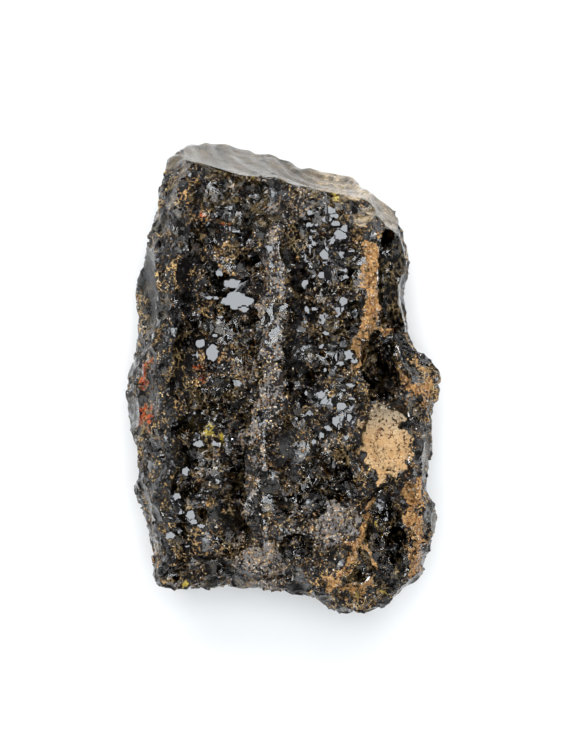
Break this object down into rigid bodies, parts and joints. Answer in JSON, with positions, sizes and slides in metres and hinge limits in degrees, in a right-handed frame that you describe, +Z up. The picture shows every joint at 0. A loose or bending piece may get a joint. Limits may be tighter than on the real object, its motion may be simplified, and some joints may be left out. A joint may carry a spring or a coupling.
{
  "type": "rough amber",
  "caption": "Rough lump of dark fossil resin lying on its back, with a bark-ridged upper face, shell-like broken ends and deep side pockets.",
  "frame": {"origin": "on the resting surface, under the middle of the lump's bounding box", "axes": "+Y along the lump, from the arched end to the long scalloped end; +Z up, out of the bark side; +X to the pocketed flank"},
  "size_m": [0.053, 0.0806, 0.034],
  "materials": {
    "amber": "satin"
  },
  "bodies": {
    "root": {"rough_amber": "amber"}
  },
  "joints": []
}
